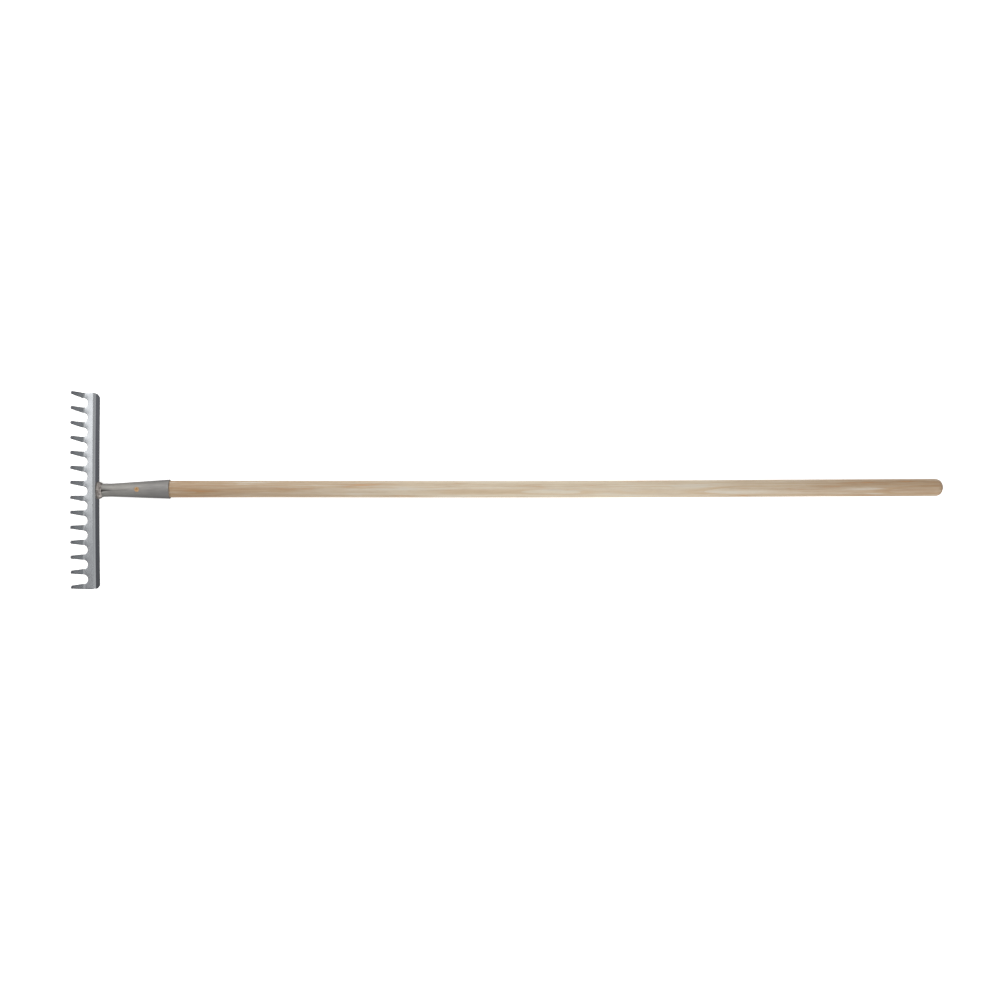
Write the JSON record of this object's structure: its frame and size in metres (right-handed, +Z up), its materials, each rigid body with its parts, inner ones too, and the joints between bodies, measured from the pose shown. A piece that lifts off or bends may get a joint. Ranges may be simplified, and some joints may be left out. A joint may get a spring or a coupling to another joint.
{
  "type": "garden rake",
  "caption": "Garden rake: a pressed steel head with a comb of tapered tines, welded to a rolled cone socket that holds a long wooden handle.",
  "frame": {"origin": "middle of the rake's box, on its underside: the rake lies on its back, and the socket's mouth is its lowest point", "axes": "+X along the handle, away from the head; +Z up, the way the tines point; +Y across the head"},
  "size_m": [1.5454, 0.351, 0.0928],
  "materials": {
    "head_steel": "pale zinc plating, satin",
    "socket_steel": "plain rolled sheet, dull grey",
    "weld_metal": "weld metal, brownish grey and matt",
    "handle_wood": "turned pale wood, sanded, no varnish",
    "screw_steel": "yellow zinc plating, satin"
  },
  "bodies": {
    "root": {"rake_head": "head_steel", "socket": "socket_steel", "weld_bead": "weld_metal", "handle": "handle_wood", "handle_screw": "screw_steel"}
  },
  "joints": []
}
